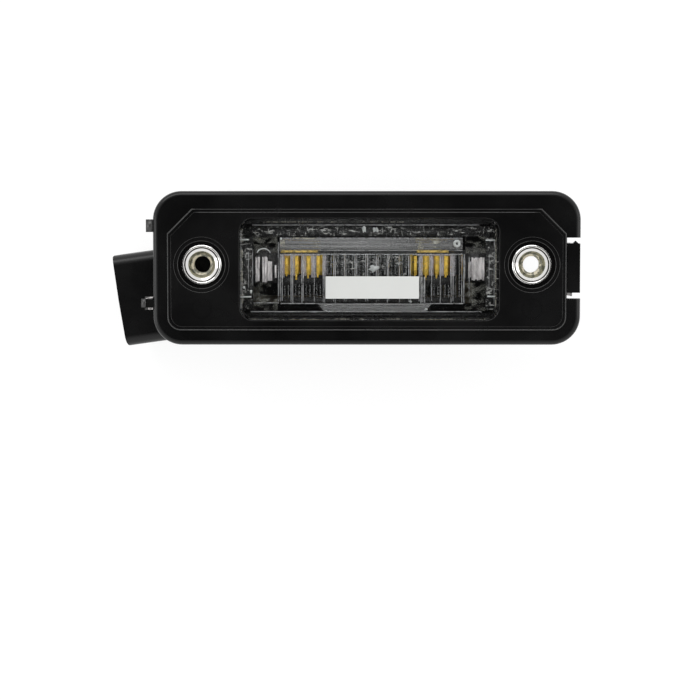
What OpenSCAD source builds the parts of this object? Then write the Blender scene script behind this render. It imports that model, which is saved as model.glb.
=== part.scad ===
// Number plate lamp with a festoon bulb, lens up, seen along -Z as it is seen under a tailgate.
// Origin: midway between the two screw holes, on the rear face of the flange.
// Heights written v_ are measured from the middle of the flange, up in the front view.

/* [Flange] */
// Distance from a screw hole to the end of the flange
flange_end = 10.5; // [9.5:0.1:12]
// Height of the flange
flange_h = 33.1; // [32:0.1:36]
// Thickness of the flange
flange_t = 2.6; // [2.4:0.1:3.2]
// Corner radius of the flange
flange_r = 6.2; // [5:0.1:8]
// Rounding of the flange's front edge
flange_edge = 1; // [0.5:0.1:1.4]
// How far the middle panel stands proud of the flange
panel_rise = 0.7; // [0.4:0.1:1]
// Margin between the flange's edge and the middle panel
panel_margin = 3.2; // [2.8:0.1:3.6]
// Cut of the panel's two upper corners
panel_chamfer = 5.3; // [3:0.1:6]

/* [Screw sleeves] */
// Distance from the end of the lamp chamber to a screw hole
hole_side = 8.4; // [7.8:0.05:9.5]
// Height of the screw holes above the middle of the flange
hole_up = 0.75; // [0:0.05:1.5]
// Bore of a screw sleeve
sleeve_bore_d = 3.6; // [3.4:0.1:4]
// Wall of a screw sleeve
sleeve_wall = 0.4; // [0.3:0.05:0.5]
// Outer diameter of a sleeve's flared head
sleeve_head_d = 8.7; // [8.2:0.1:9]

/* [Lens] */
// Distance from a screw hole to the lens window
window_side = 7.5; // [7:0.1:9]
// Height of the lens window
window_h = 22.1; // [21.8:0.1:22.4]
// Corner radius of the lens window
window_r = 3; // [2:0.1:4]
// How far the lens rim reaches under the frame
lens_rim = 1.1; // [0.8:0.1:1.2]
// Thickness of the lens rim
lens_rim_t = 0.8; // [0.6:0.05:0.9]
// Width from flute to flute
flute_pitch = 2.3; // [2:0.1:3]
// Radius that a flute is rounded to
flute_r = 1.6; // [1.55:0.05:2]
// Length of the white printed field on the lens
label_w = 20.1; // [10:0.1:24]
// Height of the white printed field on the lens
label_h = 4.8; // [3:0.1:6]

/* [Housing] */
// Free room between a contact spring and the end of the chamber
end_room = 1.55; // [1.2:0.05:2]
// Depth of the housing behind the flange, without the ribs
body_depth = 20; // [19:0.5:24]
// Wall of the lamp chamber
wall = 1.6; // [1.4:0.1:1.8]
// Thickness of the housing's rear plate
plate_t = 1.9; // [1.5:0.1:2.2]
// Width of a rib on the housing
rib_w = 1.6; // [1:0.1:2.5]
// How far the ribs stand proud of the housing's back
rib_rise = 0.9; // [0.6:0.1:1.2]
// Distance between the ribs
rib_pitch = 5.65; // [4:0.05:6.5]

/* [Plug socket] */
// Height of the socket across its flat faces' width
socket_w = 20.2; // [18:0.1:21]
// Thickness of the socket
socket_t = 11.8; // [11:0.1:12]
// Wall of the socket
socket_wall = 1.2; // [1:0.05:1.4]
// Length of the socket along its front wall
socket_len = 25.5; // [24:0.1:30]
// Depth of the socket's mouth
socket_cavity = 20; // [17:0.5:21]
// Angle that the socket points down by
socket_slope = 8; // [6:0.5:12]
// Angle that the socket's mouth leans back by, its front wall being the longer
mouth_rake = 14; // [0:1:20]
// Width of a terminal blade
blade_w = 2.8; // [2:0.1:3.2]
// Distance between the terminal blades
blade_pitch = 5.2; // [5:0.1:6]

/* [Bulb] */
// Length of the bulb over its caps
bulb_len = 36; // [35:0.5:37]
// Diameter of the bulb's caps
cap_d = 8.5; // [8:0.1:9]
// Diameter of the bulb's glass
glass_d = 10; // [9.6:0.1:10.4]
// Depth of the bulb's middle line behind the flange
bulb_depth = 8.5; // [8.3:0.1:9.5]

/* [Snap hook] */
// Width of the snap hook
hook_w = 10.6; // [8:0.1:11]
// Depth of the snap hook behind the flange
hook_depth = 11.6; // [9:0.1:13]
// Height of the notch in the flange that the hook comes up through
notch_h = 13.1; // [12.8:0.1:14]
// Thickness of the sheet metal in the springs and terminals
sheet_t = 0.4; // [0.3:0.05:0.5]

/* [Hidden] */
$fn = 48;

// Small shared sizes
eps = 0.02;
fit_gap = 0.1;
slip_gap = 0.05;

// Contact springs: a strip bent over between the bulb's cap and the end of the chamber
bulb_v = 1;
bulb_x = 0.3;
bulb_z = -bulb_depth;
cap_bite = 0.75;
leg_x = bulb_len / 2 - cap_bite;
spring_w = 5.2;
spring_reach = 8.1;
spring_top_z = -3.9;
foot_len = 6;

// Lengths that follow the bulb and its contacts
cave_half = leg_x + spring_reach + sheet_t / 2 + end_room;
hole_pitch = 2 * (cave_half + hole_side);
flange_w = hole_pitch + 2 * flange_end;
window_w = hole_pitch - 2 * window_side;

// Middle panel and collar
panel_w = flange_w - 2 * panel_margin;
panel_h = flange_h - 2 * panel_margin - 0.7;
panel_v = -0.3;
panel_r = 2.8;
panel_line_in = 0.75;
panel_line_drop = 0.2;
panel_z = flange_t + panel_rise;
collar_h = flange_h - 2 * panel_margin;
collar_r = 3.6;
collar_lip_w = 1;
collar_lip_t = 0.35;
eject_v = -8.7;
eject_r = 2.2;
eject_line = 0.2;
eject_depth = 0.08;

// Lens and its seat
lens_x = 0.55;
lens_v = -0.25;
lens_gap = 0.15;
seat_in = 0.4;
seal_t = 0.5;
rim_z = seat_in + seal_t;
rim_w = window_w + 2 * lens_rim;
rim_h = window_h + 2 * lens_rim;
rim_r = window_r + lens_rim;
lens_rim_top = rim_z + lens_rim_t;
lens_face_z = panel_z - 0.8;
lens_edge = 0.6;
flutes = 17;
flute_x = lens_x + 0.6;
flute_seam = 0.05;
flute_v_top = 3;
flute_v_low = -7.6;
prism_v = 5.2;
prism_half = 1.2;
prism_r = 1.6;
line_bar_v = 3.4;
line_bar_r = 0.45;
top_bar_v = 9.25;
top_bar_x = window_w / 2 - 4.8;
top_bar_r = 0.3;
low_bar_x0 = -10.3;
low_bar_x1 = 13.8;
low_bar_v = -8.6;
low_bar_r = 0.95;
bar_tip = 1.8;
dimple_x = 19.4;
dimple_v = 5.3;
dimple_d = 0.9;
dimple_depth = 0.5;
label_x = 1.2;
label_v = -4.15;
label_t = 0.15;

// Chamber inside the housing, measured from the middle of the flange
cave_x0 = bulb_x - cave_half;
cave_x1 = bulb_x + cave_half;
cave_v0 = -10.4;
cave_v1 = 9.7;
cave_floor = body_depth - wall;
body_x0 = cave_x0 - wall;
body_x1 = cave_x1 + wall;
body_v0 = cave_v0 - wall;
body_v1 = cave_v1 + wall;
back_r = 2;
sweep_r = 5.6;
body_corner_r = 2.4;

// Ribs
rib_count = 4;
rib_mid_x = -0.85;
rib_side_rise = collar_h / 2 + body_v0 - fit_gap;
rib_back_r = 2.6;
step_v0 = -5.6;
step_v1 = -3.6;
step_v2 = -0.6;
step_drop = 1;

// Plug socket: its own line runs from the mouth's middle into the housing
end_gap_angle = 5;
socket_root_s = 3.2;
socket_base_len = 8;
socket_base_t = 0.5;
end_x = body_x0 + 0.15;
mouth_x = end_x - (socket_len + 1.2) * cos(socket_slope);
mouth_v = -7.7;
mouth_skew = 1.5;
socket_r = 4.2;
socket_front_r = 2.2;
socket_z = -(body_depth + 0.2 - socket_t / 2);
socket_root_w = 15;
socket_root_t = 9;
blade_t = 0.8;
blade_tip = 10.5;
tab_x = cave_x0 + 0.5;
latch_from_mouth = 14.4;
latch_w = 6.2;
latch_len = 7.6;
latch_rise = 0.6;
latch_ramp = 3.6;
latch_groove = 0.3;

// Bulb
cap_len = 7.5;
cap_wall = 0.35;
cap_cone = 3;
cap_tip_d = 2.4;
glass_wall = 0.5;
lead_r = 0.2;
filament_len = 12;
filament_r = 0.3;

// Terminals and rivets
terminal_t = 0.5;
terminal_w = 4;
terminal_z = -cave_floor;
far_run_v = -8;
rivet_r = 0.9;
rivet_head_r = 1.5;
rivet_head_t = 0.5;
rivet_in = 1.6;

// Snap hook
hook_stem_x = hole_pitch / 2 + 3.5;
hook_foot_x = flange_w / 2 - 3.6;
hook_t = 1.5;
hook_round = 0.6;
stem_bend_z = 2.2;
stem_bend_x = 1.4;
sole_up = 0.9;
arm_bend_z = 2.4;
arm_top_z = -1.6;
web_t = 1.4;
web_reach = 2.6;
leaf_fold_x = 0.9;
leaf_fold_z = 1.2;
leaf_side = 1;
notch_d = 3;
hook_tip_x = flange_w / 2 - 0.1;
leaf_w = 12.2;
nub_v = 9.1;
nub_h = 2.7;
nub_out = 1.5;
tab_v = -7.6;
tab_h = 1.8;
tab_out = 2.6;
tab_z = 0.5;
tab_t = 1.5;
nub_z = 0.3;
nub_t = 1.5;
pad_drop = 0.5;
pad_t = 2.75;
pad_head = 1.4;
pad_z = flange_t - pad_drop - pad_head;
barb_x = flange_w / 2 - 1.1;
barb_half = 0.65;
barb_rise = 0.6;

// Colours, as plain solids
black_c = [0.09, 0.09, 0.09];
clear_c = [0.85, 0.9, 0.9, 0.4];
silver_c = [0.78, 0.78, 0.78];
gold_c = [0.8, 0.62, 0.28];
steel_c = [0.72, 0.7, 0.68];

// Moves from heights measured from the flange's middle to the part's own origin
module place() {
    translate([0, -hole_up, 0]) children();
}

// A rectangle with round corners, from plain squares and circles
module round_rect(w, h, r) {
    square([w - 2 * r, h], center = true);
    square([w, h - 2 * r], center = true);
    for (x = [-1, 1], y = [-1, 1])
        translate([x * (w / 2 - r), y * (h / 2 - r)]) circle(r);
}

module round_slab(w, h, r, z0, z1) {
    translate([0, 0, z0]) linear_extrude(z1 - z0) round_rect(w, h, r);
}

// Section of a bar of that length and thickness t, its two top corners rounded by e
module soft_section(length, t, e) {
    polygon(concat([[-length / 2, 0], [length / 2, 0]], arc(length / 2 - e, t - e, e, 0, 90, 6),
        arc(e - length / 2, t - e, e, 90, 180, 6)));
}

// A slab from z = 0 to t whose top edge is rounded by e
module soft_slab(w, h, r, t, e) {
    rotate([90, 0, 90]) linear_extrude(w - 2 * r, center = true) soft_section(h, t, e);
    rotate([90, 0, 0]) linear_extrude(h - 2 * r, center = true) soft_section(w, t, e);
    for (x = [-1, 1], y = [-1, 1])
        translate([x * (w / 2 - r), y * (h / 2 - r), 0])
            rotate_extrude() polygon(concat([[0, 0], [r, 0]], arc(r - e, t - e, e, 0, 90, 6), [[0, t]]));
}

// The panel's outline: chamfered above, round below, moved in by inset
module panel_outline(inset) {
    w = panel_w / 2 - inset;
    h = panel_h / 2 - inset;
    c = panel_chamfer - 0.4 * inset;
    r = panel_r - 0.5 * inset;
    translate([0, panel_v]) {
        polygon([[-w, -h + r], [w, -h + r], [w, h - c], [w - c, h], [-w + c, h], [-w, h - c]]);
        translate([-w + r, -h]) square([2 * (w - r), r + eps]);
        for (s = [-1, 1]) translate([s * (w - r), -h + r]) circle(r);
    }
}

// Points of an arc
function arc(cx, cy, r, a0, a1, n) = [for (i = [0:n]) let (a = a0 + (a1 - a0) * i / n)
    [cx + r * cos(a), cy + r * sin(a)]];

// The housing seen along X, as height and depth: a tight round below, a wide sweep above
function body_profile(v0, v1, top, depth, r0, r1) = concat(
    [[v1, top], [v0, top]],
    arc(v0 + r0, -depth + r0, r0, 180, 270, 6),
    arc(v1 - r1, -depth + r1, r1, 270, 360, 10));

// Extrudes a height and depth outline along X
module along_x(x0, x1) {
    translate([x0, 0, 0]) rotate([90, 0, 90]) linear_extrude(x1 - x0) children();
}

// Extrudes an outline of x and z along the height
module along_v(v0, v1) {
    translate([0, v1, 0]) rotate([90, 0, 0]) linear_extrude(v1 - v0) children();
}

// A bent strip of sheet, from its middle line
module strip_outline(points, t) {
    for (i = [0:len(points) - 2]) {
        d = points[i + 1] - points[i];
        translate(points[i]) rotate(atan2(d[1], d[0])) translate([0, -t / 2]) square([norm(d), t]);
    }
    for (i = [1:len(points) - 2]) translate(points[i]) circle(t / 2, $fn = 24);
}

module at_holes() {
    for (s = [-1, 1]) translate([s * hole_pitch / 2, hole_up, 0]) children();
}

// Goes to the socket's own line: +X runs from the mouth into the housing
module on_socket() {
    translate([mouth_x, mouth_v, socket_z]) rotate([0, 0, socket_slope]) children();
}

/* Front frame: flange, panel, window, screw recesses, notch and edge nubs */
sleeve_r = sleeve_bore_d / 2 + sleeve_wall;
recess_r = sleeve_head_d / 2 + 0.8;
recess_z = panel_z - 1.7;
dish_r = recess_r + 0.85;
dish_drop = 0.25;
cone_h = 1.3;
roll_r = 0.35;
dish_w = 0.85;
cone_r = sleeve_r + 0.95;

// Room for the sleeves: a plain hole that widens under the head
module sleeve_room() {
    at_holes() {
        translate([0, 0, -plate_t - 1]) cylinder(r = sleeve_r + slip_gap, h = plate_t + panel_z + 2);
        translate([0, 0, recess_z - cone_h])
            cylinder(r1 = sleeve_r + slip_gap, r2 = cone_r + slip_gap, h = cone_h + eps);
    }
}

module front_frame() {
    color(black_c) place() difference() {
        union() {
            soft_slab(flange_w, flange_h, flange_r, flange_t, flange_edge);
            translate([0, 0, rim_z]) linear_extrude(panel_z - panel_line_drop - rim_z) panel_outline(0);
            translate([0, 0, rim_z]) linear_extrude(panel_z - rim_z) panel_outline(panel_line_in);
            translate([-flange_w / 2 - nub_out, nub_v - nub_h / 2, nub_z]) cube([nub_out + 2, nub_h, nub_t]);
            translate([-flange_w / 2 - tab_out, tab_v - tab_h / 2, tab_z]) cube([tab_out + 2, tab_h, tab_t]);
        }
        // Shallow recess that takes the housing's plate, so that only the rim round it seats
        round_slab(panel_w + 2 * slip_gap, collar_h + 2 * slip_gap, collar_r + slip_gap, -1, seat_in);
        translate([panel_w / 2 - notch_d, -notch_h / 2, -1]) cube([2 * notch_d, notch_h, 1 + seat_in]);
        translate([lens_x, lens_v, 0]) {
            round_slab(window_w, window_h, window_r, -1, panel_z + 1);
            round_slab(rim_w + 2 * lens_gap, rim_h + 2 * lens_gap, rim_r + lens_gap,
                -1, lens_rim_top + slip_gap);
        }
        sleeve_room();
        at_holes() {
            translate([0, 0, recess_z]) cylinder(r = recess_r, h = panel_z);
            translate([0, 0, panel_z - dish_drop]) cylinder(r = dish_r, h = 1);
        }
        translate([flange_w / 2 - notch_d, -notch_h / 2, -1]) cube([notch_d + 1, notch_h, panel_z + 2]);
        // Ejector marks
        for (s = [-1, 1]) translate([s * hole_pitch / 2, eject_v, panel_z - eject_depth]) difference() {
            cylinder(r = eject_r, h = 1);
            translate([0, 0, -1]) cylinder(r = eject_r - eject_line, h = 3);
        }
    }
}

/* Lens: clear face, rim, and the flutes and bars moulded on its inner side */
lens_w = window_w - 2 * lens_gap;
lens_h = window_h - 2 * lens_gap;
lens_r = window_r - lens_gap;

// Cross section of a shallow rounded bar, half as wide as half, that hangs from the back of the lens
module shallow_arc(r, half, seam) {
    intersection() {
        translate([0, sqrt(r * r - half * half) - seam]) circle(r);
        translate([-half, -r]) square([2 * half, r + lens_rim_t / 2]);
    }
}

// A round bar across the back of the lens with its middle line at height v
module lens_bar(x0, x1, v, r) {
    translate([x0, v, rim_z]) rotate([0, 90, 0]) cylinder(r = r, h = x1 - x0);
}

// A bar that runs out to a point at both ends
module pointed_bar(x0, x1, v, r) {
    lens_bar(x0 + bar_tip, x1 - bar_tip, v, r);
    translate([x0, v, rim_z]) rotate([0, 90, 0]) cylinder(r1 = r / 4, r2 = r, h = bar_tip + eps);
    translate([x1 - bar_tip - eps, v, rim_z]) rotate([0, 90, 0])
        cylinder(r1 = r, r2 = r / 4, h = bar_tip + eps);
}

module lens() {
    bar_x0 = flute_x - flutes * flute_pitch / 2;
    bar_x1 = flute_x + flutes * flute_pitch / 2;
    color(clear_c) place() {
        difference() {
            union() {
                translate([lens_x, lens_v, 0]) {
                    round_slab(rim_w, rim_h, rim_r, rim_z, lens_rim_top);
                    translate([0, 0, lens_rim_top - eps])
                        soft_slab(lens_w, lens_h, lens_r, lens_face_z - lens_rim_top + eps, lens_edge);
                }
                for (i = [0:flutes - 1]) translate([bar_x0 + (i + 0.5) * flute_pitch, 0, rim_z])
                    along_v(flute_v_low, flute_v_top) shallow_arc(flute_r, flute_pitch / 2, flute_seam);
                translate([0, prism_v, rim_z]) along_x(bar_x0, bar_x1)
                    shallow_arc(prism_r, prism_half, flute_seam);
                lens_bar(bar_x0, bar_x1, line_bar_v, line_bar_r);
                lens_bar(lens_x - top_bar_x, lens_x + top_bar_x, top_bar_v, top_bar_r);
                pointed_bar(low_bar_x0, low_bar_x1, low_bar_v, low_bar_r);
            }
            translate([dimple_x, dimple_v, rim_z - prism_r])
                cylinder(d = dimple_d, h = prism_r - dimple_depth + 0.5);
        }
    }
}

module lens_label() {
    color("white") place() translate([label_x, label_v, lens_face_z + label_t / 2])
        cube([label_w, label_h, label_t], center = true);
}

module lens_seal() {
    color([0.2, 0.2, 0.2]) place() translate([lens_x, lens_v, 0]) difference() {
        round_slab(rim_w, rim_h, rim_r, seat_in, rim_z);
        round_slab(window_w, window_h - 2 * lens_gap, lens_r, -1, rim_z + 1);
    }
}

/* Rear housing: plate, chamber, ribs, plug socket and snap hook in one moulding */
module body_block() {
    intersection() {
        along_x(body_x0, body_x1)
            polygon(body_profile(body_v0, body_v1, -plate_t / 2, body_depth, back_r, sweep_r));
        translate([(body_x0 + body_x1) / 2, (body_v0 + body_v1) / 2, -body_depth - 1])
            linear_extrude(body_depth + 1) round_rect(body_x1 - body_x0, body_v1 - body_v0, body_corner_r);
        along_v(body_v0 - 1, body_v1 + 1) translate([body_x0, -body_depth])
            polygon(concat([[0, body_depth], [body_x1 - body_x0, body_depth]],
                arc(body_x1 - body_x0 - 1.4, 1.4, 1.4, 0, -90, 5), arc(1.4, 1.4, 1.4, 270, 180, 5)));
    }
}

module ribs() {
    for (i = [0:rib_count - 1]) {
        x = rib_mid_x + (i - (rib_count - 1) / 2) * rib_pitch;
        along_x(x - rib_w / 2, x + rib_w / 2)
            polygon(body_profile(body_v0 - rib_side_rise, body_v1, -plate_t / 2, body_depth + rib_rise,
                rib_back_r, sweep_r));
    }
}

// The step across the back between the first and the last rib
module back_step() {
    x_half = rib_pitch * (rib_count - 1) / 2;
    along_x(rib_mid_x - x_half, rib_mid_x + x_half) translate([0, -body_depth])
        polygon(concat([[step_v0, -1], [step_v0, 0], [step_v1 - 0.5, step_drop], [step_v1, step_drop],
            [step_v1 + 0.15, 0.55]], arc(step_v2, -2.1, 2.15, 128, 90, 5), [[step_v2, -1]]));
}

// Section of the socket, moved in by inset: small rounds towards the lens, large ones behind
module socket_outline(inset) {
    w = socket_w / 2 - inset;
    t = socket_t / 2 - inset;
    f = socket_front_r - inset;
    r = socket_r - inset;
    translate([-w, r - t]) square([2 * w, 2 * t - r - f]);
    translate([f - w, 0]) square([2 * (w - f), t]);
    translate([r - w, -t]) square([2 * (w - r), t]);
    for (s = [-1, 1]) {
        translate([s * (w - f), t - f]) circle(f);
        translate([s * (w - r), r - t]) circle(r);
    }
}

module socket_shell() {
    on_socket() {
        intersection() {
            union() {
                rotate([90, 0, 90]) linear_extrude(socket_len + socket_root_s) socket_outline(0);
                translate([socket_len - socket_base_len, socket_base_t, 0]) rotate([90, 0, 90])
                    linear_extrude(socket_base_len + socket_root_s) socket_outline(0);
            }
            translate([0, 0, socket_t / 2]) rotate([0, -mouth_rake, mouth_skew])
                translate([0, -socket_w, -3 * socket_t]) cube([socket_len * 2, 2 * socket_w, 4 * socket_t]);
            rotate([0, 0, -socket_slope]) translate([end_x - mouth_x, -socket_w / 2, 0])
                rotate([0, 0, end_gap_angle]) translate([-2 * socket_len, -socket_w, -socket_t])
                    cube([2 * socket_len, 4 * socket_w, 2 * socket_t]);
        }
        // Latch ramp on the rear face
        translate([latch_from_mouth, 0, -socket_t / 2]) rotate([90, 0, 0]) linear_extrude(latch_w, center = true)
            polygon([[-latch_ramp, eps], [0, eps], [0, -latch_rise], [-0.7, -latch_rise]]);
    }
    // Neck between the socket and the chamber
    on_socket() translate([socket_len - 4, 0, 0]) rotate([90, 0, 90])
        linear_extrude(4 + socket_root_s) round_rect(socket_root_w, socket_root_t, 3);
}

module socket_cuts() {
    on_socket() {
        translate([-4, 0, 0]) rotate([90, 0, 90]) linear_extrude(socket_cavity + 4)
            socket_outline(socket_wall);
        // Fine groove round the latch pad
        translate([latch_from_mouth + latch_len / 2, 0, -socket_t / 2]) difference() {
            cube([latch_len, latch_w, 2 * latch_groove], center = true);
            translate([0.2, 0, 0]) cube([latch_len - 0.8, latch_w - 0.7, 2], center = true);
        }
        for (s = [-1, 1]) translate([socket_cavity - 1, s * blade_pitch / 2, 0])
            translate([0, -blade_w / 2 - slip_gap, -blade_t / 2 - slip_gap])
                cube([socket_len - socket_cavity + 6, blade_w + 2 * slip_gap, blade_t + 2 * slip_gap]);
    }
}

// The hook's middle line, as x and z, from the plate round to the flange's notch
arm_low = [hook_foot_x + hook_round, -hook_depth + arm_bend_z];
arm_high = [hook_tip_x - hook_t / 2, arm_top_z];
hook_line = [[hook_stem_x, -plate_t / 2], [hook_stem_x, -hook_depth + stem_bend_z],
    [hook_stem_x + stem_bend_x, -hook_depth + sole_up], [hook_foot_x - hook_round, -hook_depth + sole_up],
    arm_low, arm_high, [arm_high[0], flange_t - pad_drop]];

module snap_hook() {
    along_v(-hook_w / 2, hook_w / 2) strip_outline(hook_line, hook_t);
    // Flat head that fills the flange's notch, with a barb on its upper edge
    translate([hook_tip_x - pad_t, -hook_w / 2, pad_z]) cube([pad_t, hook_w, pad_head]);
    translate([barb_x, hook_w / 2, pad_z]) linear_extrude(pad_head)
        polygon([[-barb_half, -eps], [barb_half, -eps], [0, barb_rise]]);
    for (s = [-1, 1]) translate([0, s * (hook_w - web_t) / 2, 0]) along_v(-web_t / 2, web_t / 2)
        polygon([[hook_stem_x - web_reach, -plate_t / 2], [hook_stem_x, -plate_t / 2],
            [hook_stem_x, -hook_depth + web_reach]]);
}

module rear_housing() {
    color(black_c) place() difference() {
        union() {
            difference() {
                union() {
                    round_slab(panel_w, collar_h, collar_r, -plate_t, seat_in);
                    round_slab(panel_w - 2 * collar_lip_w, collar_h - 2 * collar_lip_w, collar_r - collar_lip_w,
                        -plate_t, -plate_t / 2);
                }
                translate([0, 0, -plate_t - 1]) linear_extrude(1 + collar_lip_t) difference() {
                    round_rect(panel_w - 2 * collar_lip_w, collar_h - 2 * collar_lip_w, collar_r - collar_lip_w);
                    at_hole_pads();
                }
            }
            difference() {
                body_block();
                back_step();
            }
            ribs();
            socket_shell();
            snap_hook();
        }
        along_x(cave_x0, cave_x1)
            polygon(body_profile(cave_v0, cave_v1, 1, cave_floor, back_r - 1, sweep_r - wall));
        socket_cuts();
        sleeve_room();
        for (s = [-1, 1]) translate([foot_x(s), bulb_v, -cave_floor - 1])
            cylinder(r = rivet_r + slip_gap, h = 2);
    }
}

module at_hole_pads() {
    for (s = [-1, 1]) translate([s * hole_pitch / 2, hole_up]) difference() {
        circle(r = 4.8);
        circle(r = 3.8);
    }
}

/* Screw sleeves: nickel-plated tubes with a rolled, funnel-shaped head */
module sleeve(s) {
    b = sleeve_bore_d / 2;
    h = sleeve_head_d / 2;
    color(silver_c) place() translate([s * hole_pitch / 2, hole_up, 0]) rotate_extrude()
        polygon(concat(
            [[b, -plate_t - 0.1], [sleeve_r, -plate_t - 0.1], [sleeve_r, recess_z - cone_h + 0.1],
                [cone_r - 0.05, recess_z], [h, recess_z]],
            arc(h - roll_r, recess_z + 0.5, roll_r, 0, 150, 6),
            [[h - 2 * roll_r - 0.05, recess_z + 0.42], [h - 2 * roll_r - 0.15, recess_z + 0.62],
                [h - 2 * roll_r - dish_w, recess_z + 0.36], [h - 2 * roll_r - dish_w - 0.1, recess_z + 0.25],
                [b + 0.25, recess_z - cone_h + 0.35], [b, recess_z - cone_h]]));
}

module sleeve_left() { sleeve(-1); }
module sleeve_right() { sleeve(1); }

/* Springs at the flange's two ends */
// Leaf lying against the inside of the hook's slanted arm, its end above the hook
leaf_off = hook_t / 2 + sheet_t / 2 + slip_gap;
module latch_spring() {
    arm = arm_high - arm_low;
    n = [-arm[1], arm[0]] / norm(arm);
    p0 = arm_low + leaf_off * n + arm * 0.12;
    p1 = arm_high + leaf_off * n;
    color(silver_c) place() along_v(-leaf_w / 2, leaf_w / 2 - leaf_side)
        strip_outline([[p0[0] - leaf_fold_x, p0[1] + leaf_fold_z], p0, p1, [p1[0], pad_z - sheet_t]], sheet_t);
}

// A small metal channel pressed over the tab on the left edge
module edge_clip() {
    x0 = -flange_w / 2 - tab_out + 0.9;
    color(silver_c) place() difference() {
        translate([x0, tab_v - tab_h / 2 - sheet_t - slip_gap, tab_z - sheet_t - slip_gap])
            cube([tab_out - 1, tab_h + 2 * (sheet_t + slip_gap), tab_t + sheet_t + slip_gap]);
        translate([x0 - 1, tab_v - tab_h / 2 - slip_gap, tab_z - slip_gap])
            cube([tab_out + 2, tab_h + 2 * slip_gap, 2 * tab_t]);
    }
}

/* Bulb: glass, two caps, filament and its leads */
module on_bulb() {
    translate([bulb_x, bulb_v, bulb_z]) rotate([0, 90, 0]) children();
}

neck_r = cap_d / 2 - cap_wall - fit_gap;
cap_x0 = bulb_len / 2 - cap_len;

module bulb_glass() {
    g = glass_d / 2;
    half = bulb_len / 2 - cap_cone - 0.9;
    outer = [[0, -half], [neck_r, -half], [neck_r, -cap_x0 - 0.2], [g, -cap_x0 + 2.4],
        [g, cap_x0 - 2.4], [neck_r, cap_x0 + 0.2], [neck_r, half], [0, half]];
    w = glass_wall;
    inner = [[0, -half + w], [neck_r - w, -half + w], [neck_r - w, -cap_x0 - 0.2], [g - w, -cap_x0 + 2.5],
        [g - w, cap_x0 - 2.5], [neck_r - w, cap_x0 + 0.2], [neck_r - w, half - w], [0, half - w]];
    color(clear_c) place() on_bulb() difference() {
        rotate_extrude() polygon(outer);
        rotate_extrude() polygon(inner);
        for (s = [-1, 1]) translate([0, 0, s * half]) cylinder(r = lead_r + slip_gap, h = 4, center = true);
    }
}

module cap(s) {
    e = bulb_len / 2;
    r = cap_d / 2;
    tip = cap_tip_d / 2;
    color(gold_c) place() on_bulb() rotate([s > 0 ? 0 : 180, 0, 0]) rotate_extrude() polygon([
        [r - cap_wall, cap_x0], [r, cap_x0], [r, e - cap_cone], [tip + 0.9, e - 1.2], [tip, e], [0, e],
        [0, e - cap_wall * 2], [tip + 0.4, e - 1.4], [r - cap_wall, e - cap_cone - 0.2]]);
}

module cap_left() { cap(-1); }
module cap_right() { cap(1); }

module filament() {
    color(steel_c) place() on_bulb() cylinder(r = filament_r, h = filament_len, center = true);
}

module lead(s) {
    e = bulb_len / 2 - cap_wall * 2 - fit_gap;
    color(steel_c) place() on_bulb() translate([0, 0, s > 0 ? filament_len / 2 : -e])
        cylinder(r = lead_r, h = e - filament_len / 2);
}

module lead_left() { lead(-1); }
module lead_right() { lead(1); }

/* Contact springs */
function foot_x(s) = bulb_x + s * (leg_x + spring_reach - foot_len + rivet_in);

module contact(s) {
    x0 = leg_x;
    x1 = x0 + spring_reach;
    foot_z = terminal_z + terminal_t + sheet_t / 2;
    line = [[x0, bulb_z - 4], [x0, spring_top_z - 1.6], [x0 + 1.4, spring_top_z - 0.2],
        [x1 - 1.4, spring_top_z - 0.2], [x1, spring_top_z - 1.6], [x1, foot_z + 1], [x1 - 1, foot_z],
        [x1 - foot_len, foot_z]];
    color(silver_c) place() translate([bulb_x, 0, 0]) difference() {
        mirror([s > 0 ? 0 : 1, 0, 0]) along_v(bulb_v - spring_w / 2, bulb_v + spring_w / 2)
            strip_outline(line, sheet_t);
        translate([0, bulb_v, bulb_z]) rotate([0, 90, 0])
            cylinder(r = cap_tip_d / 2 + 1, h = 2 * x0 + 1, center = true);
        translate([foot_x(s) - bulb_x, bulb_v, -cave_floor]) cylinder(r = rivet_r + slip_gap, h = 2);
    }
}

module contact_left() { contact(-1); }
module contact_right() { contact(1); }

/* Terminals: flat blades in the socket that run on along the chamber's floor */
tab_s = (tab_x - mouth_x) / cos(socket_slope);
function blade_v(side) = mouth_v + tab_s * sin(socket_slope) + side * blade_pitch / 2 * cos(socket_slope);

module blade(side) {
    on_socket() translate([blade_tip, side * blade_pitch / 2 - blade_w / 2, -blade_t / 2]) {
        translate([1, 0, 0]) cube([tab_s - blade_tip - 1, blade_w, blade_t]);
        translate([0, 0.4, 0]) cube([1 + eps, blade_w - 0.8, blade_t]);
    }
    // Leg from the blade's level down to the chamber's floor
    translate([tab_x - 0.3, blade_v(side) - blade_w / 2, terminal_z])
        cube([1.2, blade_w, socket_z - terminal_z + blade_t / 2]);
}

module floor_run(x0, x1, v0, v1) {
    translate([x0, v0, terminal_z]) cube([x1 - x0, v1 - v0, terminal_t]);
}

module terminal_near() {
    color(gold_c) place() difference() {
        union() {
            blade(1);
            floor_run(tab_x, foot_x(-1) + 2.4, bulb_v - terminal_w / 2 - 0.6, bulb_v + terminal_w / 2);
        }
        translate([foot_x(-1), bulb_v, terminal_z - 1]) cylinder(r = rivet_r + slip_gap, h = 3);
    }
}

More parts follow.
